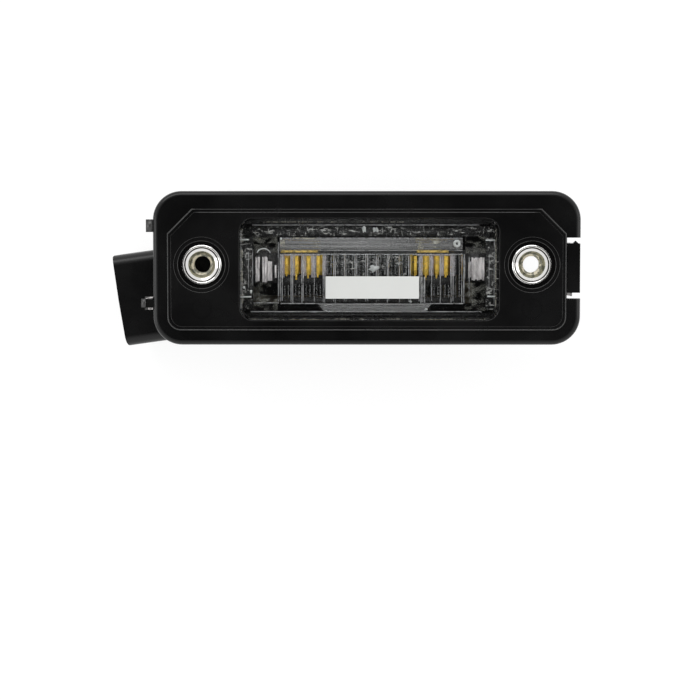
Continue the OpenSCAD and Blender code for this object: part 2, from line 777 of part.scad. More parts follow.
module terminal_far() {
    color(gold_c) place() difference() {
        union() {
            blade(-1);
            floor_run(tab_x, tab_x + 2.2, far_run_v - 0.6, blade_v(-1) + blade_w / 2);
            floor_run(tab_x, foot_x(1) + 2.4, far_run_v - 0.6, far_run_v + 1.2);
            floor_run(foot_x(1) - 1.6, foot_x(1) + 2.4, far_run_v - 0.6, bulb_v + terminal_w / 2);
        }
        translate([foot_x(1), bulb_v, terminal_z - 1]) cylinder(r = rivet_r + slip_gap, h = 3);
    }
}

module rivet(s) {
    z = terminal_z + terminal_t + sheet_t;
    color(silver_c) place() translate([foot_x(s), bulb_v, 0]) {
        translate([0, 0, -cave_floor - 0.9]) cylinder(r = rivet_r, h = z + cave_floor + 0.9 + eps);
        translate([0, 0, z]) cylinder(r1 = rivet_head_r, r2 = rivet_head_r - 0.3, h = rivet_head_t);
    }
}

module rivet_left() { rivet(-1); }
module rivet_right() { rivet(1); }

front_frame();
lens();
lens_label();
lens_seal();
rear_housing();
sleeve_left();
sleeve_right();
latch_spring();
edge_clip();
contact_left();
contact_right();
terminal_near();
terminal_far();
rivet_left();
rivet_right();
bulb_glass();
cap_left();
cap_right();
filament();
lead_left();
lead_right();
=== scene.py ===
import math
import random

import bpy
import bmesh
from mathutils import Matrix, Vector


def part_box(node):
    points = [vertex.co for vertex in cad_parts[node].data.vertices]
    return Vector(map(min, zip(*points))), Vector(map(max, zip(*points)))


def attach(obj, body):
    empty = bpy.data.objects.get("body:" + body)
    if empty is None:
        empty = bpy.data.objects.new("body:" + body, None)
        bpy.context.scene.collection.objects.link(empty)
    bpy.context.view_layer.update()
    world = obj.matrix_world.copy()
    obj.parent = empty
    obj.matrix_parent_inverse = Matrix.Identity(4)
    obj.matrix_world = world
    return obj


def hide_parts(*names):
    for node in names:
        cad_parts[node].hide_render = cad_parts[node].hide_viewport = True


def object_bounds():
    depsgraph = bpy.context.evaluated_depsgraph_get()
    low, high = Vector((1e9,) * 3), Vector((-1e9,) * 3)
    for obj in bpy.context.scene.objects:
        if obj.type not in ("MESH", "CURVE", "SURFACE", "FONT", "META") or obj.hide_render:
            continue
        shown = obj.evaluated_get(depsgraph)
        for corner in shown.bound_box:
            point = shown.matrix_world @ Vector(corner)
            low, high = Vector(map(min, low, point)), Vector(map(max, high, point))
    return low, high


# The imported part, lens up, lying on its ribs. Blender's lengths are in metres, and MM turns
# millimetres into them. The tables below are in millimetres: x along the lamp, v the height over
# the flange's middle as the photo shows it, z towards the viewer.
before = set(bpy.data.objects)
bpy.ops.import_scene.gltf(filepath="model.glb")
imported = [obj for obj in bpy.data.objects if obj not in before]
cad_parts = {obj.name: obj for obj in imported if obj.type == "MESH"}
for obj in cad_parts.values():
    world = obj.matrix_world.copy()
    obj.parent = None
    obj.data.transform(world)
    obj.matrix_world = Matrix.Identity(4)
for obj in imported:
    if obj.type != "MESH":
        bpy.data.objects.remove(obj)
cad_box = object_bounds()
MM = 0.001
ROOT = "root"

# Sizes of the part that the looks follow. The frame's y is 0 at the screw holes, which sit
# HOLE_UP over the flange's middle.
HOLE_UP = 0.75
HOLE_X = 35.5
PANEL_Z = 3.3
PANEL_W, PANEL_H, PANEL_V = 85.6, 26.0, -0.3
PANEL_CUT, PANEL_R = 5.3, 2.8
RECESS_R, SEAT_R = 6.02, 5.17
LENS_X, LENS_V = 0.55, -0.25
WINDOW_W, WINDOW_H, WINDOW_R = 56.1, 22.2, 3.05
LENS_BACK = 0.9
LENS_INSIDE = 1.35
FLUTES, FLUTE_PITCH, FLUTE_X = 17, 2.3, 1.15
FLUTE_LOW, FLUTE_HIGH = -7.6, 3.0
CAP_SPANS = ((-18.5, -9.0), (9.5, 19.0))

# Camera: straight above the lamp and a little towards its upper edge, as the photo's upper view
CAMERA_AT = Vector((-1.2, 14.23, 440)) * MM
CAMERA_AIM = Vector((-3.6, -18.57, 0)) * MM
FOCAL_PX = 2035
IMAGE_PX = 700
SENSOR = 36
CLIP_START, CLIP_END = 0.01, 20


def add_camera():
    data = bpy.data.cameras.new("photo_camera")
    data.sensor_width = SENSOR
    data.lens = FOCAL_PX * SENSOR / IMAGE_PX
    data.clip_start = CLIP_START
    data.clip_end = CLIP_END
    cam = bpy.data.objects.new("photo_camera", data)
    back = (CAMERA_AT - CAMERA_AIM).normalized()
    right = Vector((0, 1, 0)).cross(back).normalized()
    up = back.cross(right)
    turn = Matrix((right, up, back)).transposed().to_4x4()
    cam.matrix_world = Matrix.Translation(CAMERA_AT) @ turn
    bpy.context.scene.collection.objects.link(cam)
    bpy.context.scene.camera = cam


add_camera()


# Shader helpers
class Nodes:
    """A material or world under construction: short calls to add and join its nodes."""

    def __init__(self, owner):
        owner.use_nodes = True
        self.tree = owner.node_tree
        self.tree.nodes.clear()

    def add(self, kind, **values):
        """A node. A value sets the node's own setting of that name, or else its input."""
        node = self.tree.nodes.new(kind)
        for key, value in values.items():
            if hasattr(node, key):
                setattr(node, key, value)
            else:
                node.inputs[key.replace("_", " ")].default_value = value
        return node

    def join(self, out, into):
        self.tree.links.new(out, into)

    def coords(self):
        return self.add("ShaderNodeTexCoord").outputs["Object"]

    def split(self, vector):
        node = self.add("ShaderNodeSeparateXYZ")
        self.join(vector, node.inputs["Vector"])
        return node.outputs

    def noise(self, scale, detail, rough=0.55, stretch=None):
        """Noise from 0 to 1 over the lamp. A small stretch draws it out along that axis."""
        vector = self.coords()
        if stretch:
            mapping = self.add("ShaderNodeMapping")
            mapping.inputs["Scale"].default_value = stretch
            self.join(vector, mapping.inputs["Vector"])
            vector = mapping.outputs["Vector"]
        tex = self.add("ShaderNodeTexNoise", Scale=scale, Detail=detail, Roughness=rough)
        self.join(vector, tex.inputs["Vector"])
        return tex.outputs["Fac"]

    def span(self, value, low, high, start=0.3, end=0.7):
        """Maps start..end to low..high."""
        node = self.add("ShaderNodeMapRange", From_Min=start, From_Max=end, To_Min=low, To_Max=high)
        self.join(value, node.inputs["Value"])
        return node.outputs["Result"]

    def ramp(self, value, stops, interpolation="LINEAR"):
        """Colours along a 0 to 1 value."""
        node = self.add("ShaderNodeValToRGB")
        scale = node.color_ramp
        scale.interpolation = interpolation
        first, *middle, last = stops
        for i, (place, colour) in enumerate((first, last)):
            scale.elements[i].position = place
            scale.elements[i].color = (*colour, 1)
        for place, colour in middle:
            scale.elements.new(place).color = (*colour, 1)
        self.join(value, node.inputs["Fac"])
        return node.outputs["Color"]

    def tint(self, value, dark, light):
        """Maps a 0 to 1 value to a colour between dark and light."""
        return self.ramp(value, ((0.3, dark), (0.7, light)))

    def calc(self, operation, *values):
        """A Math node over outputs or plain numbers."""
        node = self.add("ShaderNodeMath", operation=operation)
        for value, socket in zip(values, node.inputs):
            if isinstance(value, float):
                socket.default_value = value
            else:
                self.join(value, socket)
        return node.outputs["Value"]

    def multiply(self, first, second, factor=None):
        """One colour times another, everywhere or as far as factor says."""
        node = self.add("ShaderNodeMix", data_type="RGBA", blend_type="MULTIPLY", Factor=1.0)
        if factor:
            self.join(factor, node.inputs["Factor"])
        self.join(first, node.inputs["A"])
        self.join(second, node.inputs["B"])
        return node.outputs["Result"]

    def bump(self, height, strength, distance):
        node = self.add("ShaderNodeBump", Strength=strength, Distance=distance)
        self.join(height, node.inputs["Height"])
        return node.outputs["Normal"]

    def mix(self, factor, first, second):
        """The first shader where factor is 0, the second where it is 1."""
        node = self.add("ShaderNodeMixShader")
        for value, socket in zip((factor, first, second), node.inputs):
            self.join(value, socket)
        return node.outputs["Shader"]

    def show(self, shader, kind="ShaderNodeOutputMaterial"):
        self.join(shader, self.add(kind).inputs["Surface"])


def new_material(name):
    mat = bpy.data.materials.new(name)
    return mat, Nodes(mat)


def surface(name, base, light, rough=(0.3, 0.4), grain=900.0, bump=0.05, depth=0.02 * MM,
            stretch=None, metallic=0.0, specular=0.5, scuff=70.0):
    """An opaque material: colour and roughness drift slowly, a fine grain gives the bump."""
    mat, n = new_material(name)
    slow = n.noise(scuff, 5.0)
    fine = n.noise(grain, 3.0, stretch=stretch)
    shader = n.add("ShaderNodeBsdfPrincipled", Metallic=metallic, Specular_IOR_Level=specular)
    n.join(n.tint(slow, base, light), shader.inputs["Base Color"])
    n.join(n.span(slow, *rough), shader.inputs["Roughness"])
    n.join(n.bump(fine, bump, depth), shader.inputs["Normal"])
    n.show(shader.outputs["BSDF"])
    return mat


def clear(name, colour, rough, ior, shade, ripple):
    """A clear solid. Lamps shine straight through it, so what lies inside is lit."""
    mat, n = new_material(name)
    wave = n.noise(ripple, 3.0)
    glass = n.add("ShaderNodeBsdfPrincipled", Base_Color=(*colour, 1), Transmission_Weight=1.0,
                  IOR=ior)
    n.join(n.span(wave, *rough), glass.inputs["Roughness"])
    n.join(n.bump(wave, 0.02, 0.02 * MM), glass.inputs["Normal"])
    through = n.add("ShaderNodeBsdfTransparent", Color=(shade, shade, shade, 1))
    path = n.add("ShaderNodeLightPath")
    n.show(n.mix(path.outputs["Is Shadow Ray"], glass.outputs["BSDF"], through.outputs["BSDF"]))
    return mat


def haze(name, colour, low, high, scale, stretch=(1, 1, 1), cut=(0.35, 0.65)):
    """A thin veil: how much of it shows drifts between low and high."""
    mat, n = new_material(name)
    cloud = n.noise(scale, 4.0, 0.6, stretch=stretch)
    shader = n.add("ShaderNodeBsdfPrincipled", Roughness=0.5)
    n.join(n.tint(cloud, [0.7 * c for c in colour], colour), shader.inputs["Base Color"])
    n.join(n.span(cloud, low, high, *cut), shader.inputs["Alpha"])
    n.show(shader.outputs["BSDF"])
    return mat


def glints(name, dark, light, scale, along, across, cut, most):
    """Short bright dashes along and across the lamp, as a moulded pattern glints on the dark."""
    mat, n = new_material(name)
    flat = n.noise(scale, 3.0, 0.6, stretch=along)
    upright = n.noise(scale * 1.1, 3.0, 0.6, stretch=across)
    both = n.calc("MAXIMUM", n.span(flat, 0.0, most, *cut), n.span(upright, 0.0, most, *cut))
    shader = n.add("ShaderNodeBsdfPrincipled", Roughness=0.4)
    n.join(n.tint(flat, dark, light), shader.inputs["Base Color"])
    n.join(both, shader.inputs["Alpha"])
    n.show(shader.outputs["BSDF"])
    return mat


# Rings of the sleeves' metal, from the hole's middle outwards, as a share of RING_REACH. The pale
# first ring is painted light in the funnel and the dark ring is painted shade at the groove; the
# bright rings are the plated metal's own colour.
RING_REACH = 5.0
BRIGHT = (0.93, 0.92, 0.9)
SLEEVE_METAL_AND_PAINTED_RINGS = ((0.0, (0.98, 0.93, 0.8)), (0.46, (0.3, 0.29, 0.21)), (0.58, BRIGHT),
                (0.695, (0.08, 0.06, 0.07)), (0.75, BRIGHT))
FUNNEL_R, SEAT_START_R = 2.85, 2.95


def sleeve_metal():
    """Plated metal in rings around each hole: bright, with a dark ring of painted shade at the
    groove, olive at the neck, and a pale mottled funnel inside that is painted light."""
    mat, n = new_material("sleeve_nickel")
    place = n.split(n.coords())
    across = n.calc("SUBTRACT", n.calc("ABSOLUTE", place["X"]), HOLE_X * MM)
    flat = n.add("ShaderNodeCombineXYZ")
    n.join(across, flat.inputs["X"])
    n.join(place["Y"], flat.inputs["Y"])
    distance = n.add("ShaderNodeVectorMath", operation="LENGTH")
    n.join(flat.outputs["Vector"], distance.inputs[0])
    radius = distance.outputs["Value"]
    rings = n.ramp(n.span(radius, 0.0, 1.0, 0.0, RING_REACH * MM), SLEEVE_METAL_AND_PAINTED_RINGS, "CONSTANT")
    cloud = n.noise(900, 4.0, 0.65)
    mottle = n.tint(n.span(cloud, 0.0, 1.0, 0.42, 0.58), (0.3, 0.32, 0.31), (1.0, 0.98, 0.93))
    inside = n.span(radius, 1.0, 0.0, FUNNEL_R * MM, SEAT_START_R * MM)
    shader = n.add("ShaderNodeBsdfPrincipled")
    n.join(n.multiply(rings, mottle, inside), shader.inputs["Base Color"])
    n.join(n.span(inside, 1.0, 0.35, 0.0, 1.0), shader.inputs["Metallic"])
    n.join(n.span(inside, 0.1, 0.4, 0.0, 1.0), shader.inputs["Roughness"])
    n.join(n.bump(cloud, 0.05, 0.05 * MM), shader.inputs["Normal"])
    n.show(shader.outputs["BSDF"])
    return mat


# Zones of the contacts from left to right, as a share of the span -CONTACT_REACH..CONTACT_REACH.
# The gold zone is a painted reflection of the brass cap.
CONTACT_REACH = 26.0
STRIP, FOLD, PAINTED_CAP_REFLECTION = (0.97, 0.94, 0.95), (0.05, 0.05, 0.05), (0.95, 0.63, 0.13)
CONTACT_ZONES = ((0.0, STRIP), (0.12, FOLD), (0.142, PAINTED_CAP_REFLECTION), (0.866, FOLD), (0.93, STRIP))


def contact_strip():
    """Streaked bright strip: its inner bend carries a painted reflection of the brass cap, the fold
    beside it is dark.
    """
    mat, n = new_material("contact_strip")
    streak = n.noise(600, 3.0, 0.6, stretch=(3.2, 0.1, 0.1))
    place = n.span(n.split(n.coords())["X"], 0.0, 1.0, -CONTACT_REACH * MM, CONTACT_REACH * MM)
    zones = n.ramp(place, CONTACT_ZONES, "CONSTANT")
    sharp = n.span(streak, 0.0, 1.0, 0.36, 0.62)
    streaks = n.tint(sharp, (0.36, 0.34, 0.35), (1.0, 0.97, 0.96))
    shader = n.add("ShaderNodeBsdfPrincipled", Metallic=0.7)
    n.join(n.multiply(zones, streaks), shader.inputs["Base Color"])
    n.join(n.span(streak, 0.3, 0.5), shader.inputs["Roughness"])
    n.join(n.bump(streak, 0.8, 0.3 * MM), shader.inputs["Normal"])
    n.show(shader.outputs["BSDF"])
    return mat


BLACK = surface("black_plastic", (0.0012, 0.0012, 0.0013), (0.0022, 0.0022, 0.0023),
                rough=(0.2, 0.3), grain=2600, bump=0.06, depth=0.01 * MM, specular=0.4)
# A lighter black for the beads, nubs and ledges: painted highlight on top of the light that their
# rounds catch.
LIGHTENED_EDGE = surface("black_edge_painted_highlight", (0.012, 0.012, 0.012), (0.03, 0.029, 0.028), rough=(0.25, 0.35),
               grain=2600, bump=0.1, depth=0.01 * MM, specular=0.8, scuff=300)
RUBBER = surface("seal_rubber", (0.012, 0.012, 0.012), (0.02, 0.02, 0.02), rough=(0.6, 0.75),
                 grain=2200, bump=0.3)
WHITE = surface("white_print", (0.67, 0.68, 0.66), (0.71, 0.72, 0.7), rough=(0.4, 0.5),
                grain=1500, bump=0.03)
SPRING = surface("spring_strip", (0.7, 0.67, 0.66), (0.9, 0.87, 0.86), rough=(0.4, 0.6),
                 grain=500, bump=0.5, depth=0.05 * MM, stretch=(6, 0.6, 1), metallic=1.0,
                 scuff=300)
# The terminals' brass, kept far darker than brass: painted shade of the chamber they lie in.
SHADED_BRASS = surface("brass_strip", (0.07, 0.054, 0.03), (0.12, 0.093, 0.052), rough=(0.42, 0.55),
                grain=900, bump=0.12, stretch=(8, 1, 1), metallic=1.0, scuff=260)
GOLD = surface("cap_brass", (0.9, 0.58, 0.1), (1.0, 0.73, 0.2), rough=(0.34, 0.5), grain=700,
               bump=0.1, metallic=0.9, scuff=350)
WIRE = surface("tungsten_wire", (0.2, 0.2, 0.2), (0.34, 0.33, 0.32), rough=(0.35, 0.5),
               grain=3000, metallic=1.0)
FROST = surface("frosted_mark", (0.62, 0.64, 0.63), (0.9, 0.92, 0.91), rough=(0.3, 0.5),
                grain=2500, bump=0.3, scuff=1800)
LENS = clear("clear_lens", (0.95, 0.97, 0.97), (0.0, 0.05), 1.5, shade=0.92, ripple=400)
BULB = clear("bulb_glass", (0.97, 0.98, 0.98), (0.0, 0.03), 1.47, shade=0.9, ripple=250)
CONTACT = contact_strip()
SLEEVE = sleeve_metal()

# Veils under the lens: painted light, painted reflections and painted shade
# Painted highlights along the flutes' seams
SEAM_GLINT = haze("flute_seam", (0.7, 0.7, 0.71), 0.1, 0.85, 500, (3, 1, 1))
# Painted lilac light on the flutes' shoulders
LILAC_LIGHT = haze("flute_shoulder_light", (0.54, 0.51, 0.53), 0.2, 0.7, 900, (2, 0.5, 1))
# Painted light of the prism band and the bars
BAND_LIGHT = haze("prism_band_light", (0.36, 0.36, 0.36), 0.1, 0.7, 700, (0.05, 3, 1), (0.36, 0.64))
# Painted soft light in the lens's corners
MIST_LIGHT = haze("soft_mist_light", (0.16, 0.16, 0.14), 0.0, 0.3, 450, (1, 1.6, 1), (0.45, 0.65))
# Painted gleam of the caps' gold
PAINTED_GLEAM = haze("gold_gleam", (0.98, 0.7, 0.2), 0.2, 0.9, 1100, (0.8, 2, 1), (0.4, 0.6))
# Painted highlights along the lens's long seams
LINE_GLINT = haze("long_seam_glint", (0.66, 0.66, 0.67), 0.25, 0.75, 500)
# Painted reflection of the caps, as the flutes show them
CAP_REFLECTION_VEIL = haze("gold_cap_reflection", (1.0, 0.66, 0.1), 0.1, 0.95, 800, (1, 1, 1), (0.38, 0.5))
# Painted sheen of the contacts
SHEEN = haze("contact_sheen", (1.0, 0.95, 0.95), 0.3, 0.98, 1100, (2.2, 0.25, 1), (0.36, 0.54))
# Painted shade: dark sheets where the lens shows only shade
SHADE_VEIL = haze("painted_shade_sheet", (0.012, 0.012, 0.012), 0.6, 0.9, 500)
GLINT = glints("cell_glints", (0.35, 0.35, 0.33), (0.8, 0.8, 0.77), 1000, (0.5, 2.2, 1),
               (2.2, 0.8, 1), (0.6, 0.7), 0.55)
# Painted glints in dashes along the lens's edges
DASH_GLINT = glints("edge_glint_dashes", (0.25, 0.24, 0.19), (0.6, 0.58, 0.5), 1100, (0.5, 1.2, 1),
              (1.2, 0.6, 1), (0.5, 0.62), 0.6)

NODE_MATERIALS = {
    "front_frame": BLACK, "rear_housing": BLACK, "lens": LENS, "lens_label": WHITE,
    "lens_seal": RUBBER, "sleeve_left": SLEEVE, "sleeve_right": SLEEVE, "latch_spring": SPRING,
    "edge_clip": SPRING, "contact_left": CONTACT, "contact_right": CONTACT,
    "terminal_near": SHADED_BRASS, "terminal_far": SHADED_BRASS, "rivet_left": SPRING, "rivet_right": SPRING,
    "bulb_glass": BULB, "cap_left": GOLD, "cap_right": GOLD, "filament": WIRE,
    "lead_left": WIRE, "lead_right": WIRE,
}

for node_name, node_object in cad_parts.items():
    node_object.data.materials.clear()
    node_object.data.materials.append(NODE_MATERIALS[node_name])


# Mesh helpers
def make_piece(name, bm, material):
    mesh = bpy.data.meshes.new(name)
    bmesh.ops.recalc_face_normals(bm, faces=bm.faces)
    bm.to_mesh(mesh)
    bm.free()
    for face in mesh.polygons:
        face.use_smooth = True
    mesh.materials.append(material)
    piece = bpy.data.objects.new(name, mesh)
    bpy.context.scene.collection.objects.link(piece)
    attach(piece, ROOT)
    return piece


def at(x, v, z):
    """A point of the tables as Blender has it."""
    return Vector((x, v - HOLE_UP, z)) * MM


def turns(sides):
    """The angles of a round with that many sides."""
    return [2 * math.pi * k / sides for k in range(sides)]


def arc(cx, cv, r, start, end, steps=10):
    """Points on an arc from start to end, in degrees."""
    points = []
    for i in range(steps + 1):
        a = math.radians(start + (end - start) * i / steps)
        points.append((cx + r * math.cos(a), cv + r * math.sin(a)))
    return points


def round_rect(cx, cv, w, h, r):
    x, v = w / 2 - r, h / 2 - r
    return (arc(cx + x, cv + v, r, 0, 90) + arc(cx - x, cv + v, r, 90, 180)
            + arc(cx - x, cv - v, r, 180, 270) + arc(cx + x, cv - v, r, 270, 360))


def join_rings(bm, low, high):
    """A band of faces between two rings of vertices, or between two quads' corners."""
    for k in range(len(low)):
        after = (k + 1) % len(low)
        bm.faces.new((low[k], low[after], high[after], high[k]))


def sweep(bm, points, radius, sides=8):
    """A closed round tube along points."""
    rings = []
    side = None
    for i, p in enumerate(points):
        ahead = points[min(i + 1, len(points) - 1)]
        behind = points[max(i - 1, 0)]
        along = (ahead - behind).normalized()
        side = side - along * side.dot(along) if side else along.orthogonal().normalized()
        side.normalize()
        other = along.cross(side)
        rings.append([bm.verts.new(p + radius * (math.cos(a) * side + math.sin(a) * other))
                      for a in turns(sides)])
    for low, high in zip(rings, rings[1:]):
        join_rings(bm, low, high)
    bm.faces.new(rings[0][::-1])
    bm.faces.new(rings[-1])


def add_bead(bm, outline, z, radius=None, sides=8):
    """A thin closed bead along a flat outline of x and v. A point may bring its own radius."""
    nearest = 0.01
    points = []
    for p in outline:
        if not points or math.dist(p[:2], points[-1][:2]) > nearest:
            points.append(p)
    if math.dist(points[0][:2], points[-1][:2]) < nearest:
        points.pop()
    count = len(points)
    rings = []
    for i, p in enumerate(points):
        before, after = points[i - 1], points[(i + 1) % count]
        along = Vector((after[0] - before[0], after[1] - before[1])).normalized()
        r = radius if radius is not None else p[2]
        rings.append([bm.verts.new(at(p[0] + r * math.cos(a) * along.y,
                                      p[1] - r * math.cos(a) * along.x,
                                      z + r * math.sin(a))) for a in turns(sides)])
    for i in range(count):
        join_rings(bm, rings[i], rings[(i + 1) % count])


def add_rod(bm, start, end, radius, sides=8):
    start, end = at(*start), at(*end)
    sweep(bm, [start, start.lerp(end, 0.5), end], radius * MM, sides)


def add_hexa(bm, low, high):
    """A block between two quads given as four corners each."""
    low = [bm.verts.new(at(*p)) for p in low]
    high = [bm.verts.new(at(*p)) for p in high]
    bm.faces.new(low[::-1])
    bm.faces.new(high)
    join_rings(bm, low, high)


def add_slab(bm, corners, low, high):
    """An upright block on four corners of x and v."""
    add_hexa(bm, [(x, v, low) for x, v in corners], [(x, v, high) for x, v in corners])


def box_corners(x0, x1, v0, v1):
    return [(x0, v0), (x1, v0), (x1, v1), (x0, v1)]


def add_wedge(bm, foot, foot_z, top, low_z, high_z):
    """A block on a rectangle of x0, x1, v0, v1, whose top rises from left to right."""
    add_hexa(bm, [(x, v, foot_z) for x, v in box_corners(*foot)],
             [(x, v, low_z if x == top[0] else high_z) for x, v in box_corners(*top)])


# Rounded edges that catch the light: the panel's double line, the window, the screw recesses and
# the two nubs on the left edge. A bead's middle lies under the panel's face, at its sink. The
# panel's lines are given as inset and as the bead's radius at the top, the cut corners, the sides
# and the bottom.
OUTER_LINE, OUTER_SINK = (0.06, 0.06, 0.16, 0.12, 0.14), 0.24
INNER_LINE, INNER_SINK = (0.76, 0.13, 0.05, 0.06, 0.07), 0.12
BEAD_R, BEAD_SINK, SEAT_SINK = 0.1, 0.1, 0.34
ROUND_STEPS = 64
PANEL_EASE = 1.2
NUB_FOOT, NUB_TOP = (-47.5, -45.9, 7.8, 10.4), (-47.5, -45.9, 7.85, 10.35)
TAB_FOOT, TAB_TOP = (-48.6, -47.6, -8.5, -6.6), (-48.6, -47.6, -8.45, -6.65)
# Thin black ledges on the metal channel, which leave its walls as the photo shows them
LEDGES = (
    ((-47.8, -6.5), (-47.0, -6.3), (-46.6, -6.2), (-47.8, -6.15)),
    ((-47.35, -6.72), (-46.1, -6.72), (-46.1, -6.5), (-47.2, -6.52)),
    ((-47.8, -9.0), (-47.15, -9.0), (-47.15, -8.5), (-47.8, -8.5)),
    ((-46.85, -8.81), (-46.35, -8.81), (-46.35, -8.69), (-46.85, -8.69)),
)
LEDGE_LOW, LEDGE_HIGH = 2.02, 2.1


def panel_path(inset, top, chamfer, side, low):
    """Outline of the panel as x, v and the bead's radius on each stretch."""
    w, h = PANEL_W / 2 - inset, PANEL_H / 2 - inset
    cut, r = PANEL_CUT - 0.4 * inset, PANEL_R - 0.5 * inset
    upper = [(w, h - cut - PANEL_EASE, side), (w, h - cut, chamfer), (w - cut, h, chamfer),
             (w - cut - PANEL_EASE, h, top)]
    lower = arc(w - r, -h + r, r, 0, -90) + arc(-w + r, -h + r, r, -90, -180)
    path = ([(-x, v, radius) for x, v, radius in upper] + upper[::-1]
            + [(w, -h + r + PANEL_EASE, side)] + [(x, v, low) for x, v in lower]
            + [(-w, -h + r + PANEL_EASE, side)])
    return [(x, v + PANEL_V, radius) for x, v, radius in path]


def make_front_edges():
    bm = bmesh.new()
    add_bead(bm, panel_path(*OUTER_LINE), PANEL_Z - OUTER_SINK)
    add_bead(bm, panel_path(*INNER_LINE), PANEL_Z - INNER_SINK)
    window = round_rect(LENS_X, LENS_V, WINDOW_W, WINDOW_H, WINDOW_R)
    add_bead(bm, window, PANEL_Z - BEAD_SINK, BEAD_R)
    for x in (-HOLE_X, HOLE_X):
        for r, sink in ((RECESS_R, BEAD_SINK), (SEAT_R, SEAT_SINK)):
            add_bead(bm, arc(x, HOLE_UP, r, 0, 360, ROUND_STEPS), PANEL_Z - sink, BEAD_R)
    add_wedge(bm, NUB_FOOT, 1.2, NUB_TOP, 1.82, 2.05)
    add_wedge(bm, TAB_FOOT, 1.9, TAB_TOP, 2.02, 2.38)
    for ledge in LEDGES:
        add_slab(bm, ledge, LEDGE_LOW, LEDGE_HIGH)
    make_piece("front_edges", bm, LIGHTENED_EDGE)


make_front_edges()

# Rear marks: an ejector ring on the plate and a ring of plain ticks on the back
EJECTOR_X, EJECTOR_V, EJECTOR_R, EJECTOR_Z = 36.0, -8.7, 2.2, -1.9
EJECTOR_BEAD_R = 0.08
TICKS, TICK_X, TICK_V, TICK_Z = 12, 13.7, -1.5, -20.0
TICK_FROM, TICK_TO, TICK_R = 1.6, 3.9, 0.1


def make_rear_marks():
    bm = bmesh.new()
    ring = arc(EJECTOR_X, EJECTOR_V, EJECTOR_R, 0, 360, 40)
    add_bead(bm, ring, EJECTOR_Z, EJECTOR_BEAD_R)
    for i in range(TICKS):
        a = math.radians(360 / TICKS * i + 15)
        ends = [(TICK_X + r * math.cos(a), TICK_V + r * math.sin(a), TICK_Z)
                for r in (TICK_FROM, TICK_TO)]
        add_rod(bm, *ends, TICK_R, 6)
    make_piece("rear_marks", bm, BLACK)


make_rear_marks()

# Matt spots in the lens as x, v, half width, half height and corners, then short bars as x0, x1
# and v, and the ring and the half-moon
SPOTS = (
    (-0.6, 8.3, 0.55, 0.9, 9), (1.6, 8.4, 0.5, 0.75, 7), (2.2, 8.1, 0.45, 0.7, 7),
    (1.5, -0.1, 1.25, 1.0, 11), (9.4, -7.2, 0.4, 0.32, 7), (-18.4, 6.25, 0.35, 0.4, 7),
    (-26.4, -4.2, 0.35, 0.4, 7), (-24.9, -5.1, 0.3, 0.4, 7), (12.8, -8.9, 0.5, 0.3, 7),
)
SPOT_HALF = 0.05
BARS = ((-26.9, -25.3, 6.1), (-26.9, -24.9, -6.2), (25.6, 27.6, 6.0), (26.0, 27.7, -6.1))
BAR_R = 0.16
RING_X, RING_V, RING_POINTS, RING_BEAD_R = 19.4, 5.3, 12, 0.28
MOON_X, MOON_V, MOON_R, MOON_BEAD_R = -22.2, 2.6, 1.6, 0.1


def add_spot(bm, rng, x, v, wide, high, corners):
    rim = [(x + wide * rng.uniform(0.5, 1.1) * math.cos(a),
            v + high * rng.uniform(0.5, 1.1) * math.sin(a)) for a in turns(corners)]
    upper = [bm.verts.new(at(px, pv, LENS_INSIDE + SPOT_HALF)) for px, pv in rim]
    lower = [bm.verts.new(at(px, pv, LENS_INSIDE - SPOT_HALF)) for px, pv in rim]
    bm.faces.new(upper)
    bm.faces.new(lower[::-1])
    join_rings(bm, lower, upper)


def make_lens_marks():
    rng = random.Random(11)
    bm = bmesh.new()
    for spot in SPOTS:
        add_spot(bm, rng, *spot)
    ring = [(rng.uniform(0.5, 0.62), a) for a in turns(RING_POINTS)]
    add_bead(bm, [(RING_X + r * math.cos(a), RING_V + r * math.sin(a)) for r, a in ring],
             LENS_INSIDE, RING_BEAD_R)
    for x0, x1, v in BARS:
        add_rod(bm, (x0, v, LENS_INSIDE), (x1, v, LENS_INSIDE), BAR_R)
    moon = arc(MOON_X, MOON_V, MOON_R, 25, 155)
    sweep(bm, [at(x, v, LENS_INSIDE) for x, v in moon], MOON_BEAD_R * MM, 6)
    make_piece("lens_marks", bm, FROST)


make_lens_marks()

# Veils under the lens: painted light that its seams and bars gather, painted reflections of the
# caps and contacts, and sheets of painted shade. Strips of x0, x1, v0 and v1; a fifth number tapers
# the strip's lower edge.
VEIL_THICK = 0.02
SHADE_Z = LENS_BACK + 0.05
SEAM_HALF, LINE_HALF, FLAT_HALF = 0.08, 0.09, 0.07
SEAM_SHARE = 0.95
COLUMN_TOP = 2.6
TONGUE_TOP, TONGUE_LOW, TONGUE_STEP = -1.3, -1.75, 0.25
GLEAM_SPANS = ((-18.5, -10.5), (10.8, 17.6))
LONG_LINES = ((-24.6, 24.2, 9.25), (-25, -8.5, -9.4), (11.9, 24.8, -9.4), (-18.6, -9.0, -7.65),
              (11.6, 20.8, -7.65))
UPRIGHT_LINES = ((-18.75, -18.5, 2.6, 6.3), (21.0, 21.2, -2.2, 2.4), (11.7, 12.05, -7.4, -1.9),
                 (12.3, 12.6, -7.4, -1.9))
FLAT_SEAMS = ((-18.7, 20.6, 2.95), (-18.7, 20.6, 6.45), (-24.4, -19.0, -7.5))
UPRIGHT_SEAMS = (
    (-26.9, -26.75, -9.0, 8.0), (-25.5, -25.4, -4.2, 3.5), (-24.6, -24.5, -3.8, 3.8),
    (-19.1, -18.95, -7.6, 5.6), (20.9, 21.05, -7.6, 3.0), (22.0, 22.15, -6.0, 2.4),
    (26.3, 26.4, -4.5, 3.0), (27.4, 27.5, -8.0, 6.0),
)
